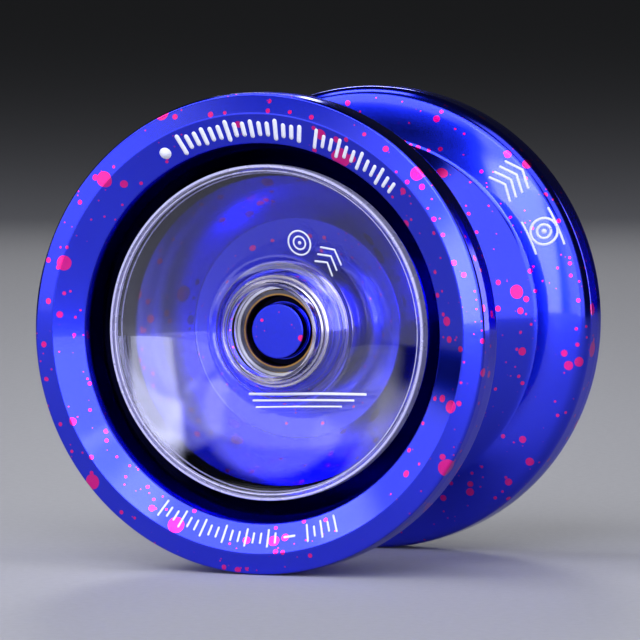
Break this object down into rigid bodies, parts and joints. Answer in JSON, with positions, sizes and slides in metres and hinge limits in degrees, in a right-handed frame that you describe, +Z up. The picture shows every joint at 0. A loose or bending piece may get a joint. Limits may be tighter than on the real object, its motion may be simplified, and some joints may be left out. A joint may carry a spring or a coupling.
{
  "type": "yo-yo",
  "caption": "Wide-bodied turned metal yo-yo with a ball bearing in its string gap, response pads and clear dished side caps that spin freely on bearings of their own.",
  "frame": {"origin": "middle of the yo-yo, on its spin axis and midway between the two halves", "axes": "+Y along the spin axis from the front half to the rear half, +Z up with the yo-yo standing on its two rims, +X to the right seen from the front"},
  "size_m": [0.055, 0.0422, 0.055],
  "materials": {
    "anodised_metal": "polished and anodised deep blue with pink splashes",
    "clear_plastic": "clear moulded polycarbonate",
    "silicone": "translucent white silicone",
    "screw_steel": "black oxide",
    "bearing_steel": "ground and polished",
    "shield_steel": "stamped",
    "cage": "stamped, oiled"
  },
  "bodies": {
    "halves": {"front_half": "anodised_metal", "rear_half": "anodised_metal", "axle": "screw_steel", "front_response_pad": "silicone", "rear_response_pad": "silicone", "bearing_inner_ring": "bearing_steel", "front_cap_bearing_inner_ring": "bearing_steel", "rear_cap_bearing_inner_ring": "bearing_steel"},
    "string_ring": {"bearing_outer_ring": "bearing_steel", "bearing_front_shield": "shield_steel", "bearing_rear_shield": "shield_steel", "bearing_front_snap_ring": "shield_steel", "bearing_rear_snap_ring": "shield_steel"},
    "string_ring_balls": {"bearing_cage": "cage", "bearing_balls": "bearing_steel"},
    "front_cap": {"front_cap": "clear_plastic", "front_cap_bearing_outer_ring": "bearing_steel", "front_cap_bearing_inboard_shield": "shield_steel", "front_cap_bearing_outboard_shield": "shield_steel"},
    "front_cap_balls": {"front_cap_bearing_cage": "cage", "front_cap_bearing_balls": "bearing_steel"},
    "rear_cap": {"rear_cap": "clear_plastic", "rear_cap_bearing_outer_ring": "bearing_steel", "rear_cap_bearing_inboard_shield": "shield_steel", "rear_cap_bearing_outboard_shield": "shield_steel"},
    "rear_cap_balls": {"rear_cap_bearing_cage": "cage", "rear_cap_bearing_balls": "bearing_steel"}
  },
  "joints": [
    {"name": "string_ring_spin", "type": "hinge", "parent": "halves", "child": "string_ring", "pos_m": [0, 0, 0], "axis": [0, 1, 0], "continuous": true},
    {"name": "string_ring_balls_orbit", "type": "hinge", "parent": "halves", "child": "string_ring_balls", "pos_m": [0, 0, 0], "axis": [0, 1, 0], "continuous": true},
    {"name": "front_cap_spin", "type": "hinge", "parent": "halves", "child": "front_cap", "pos_m": [0, -0.01195, 0], "axis": [0, 1, 0], "continuous": true},
    {"name": "front_cap_balls_orbit", "type": "hinge", "parent": "halves", "child": "front_cap_balls", "pos_m": [0, -0.01195, 0], "axis": [0, 1, 0], "continuous": true},
    {"name": "rear_cap_spin", "type": "hinge", "parent": "halves", "child": "rear_cap", "pos_m": [0, 0.01195, 0], "axis": [0, 1, 0], "continuous": true},
    {"name": "rear_cap_balls_orbit", "type": "hinge", "parent": "halves", "child": "rear_cap_balls", "pos_m": [0, 0.01195, 0], "axis": [0, 1, 0], "continuous": true}
  ],
  "couplings": [
    {"joint": "string_ring_balls_orbit", "follows": "string_ring_spin", "ratio": 0.605},
    {"joint": "front_cap_balls_orbit", "follows": "front_cap_spin", "ratio": 0.56},
    {"joint": "rear_cap_balls_orbit", "follows": "rear_cap_spin", "ratio": 0.56}
  ]
}
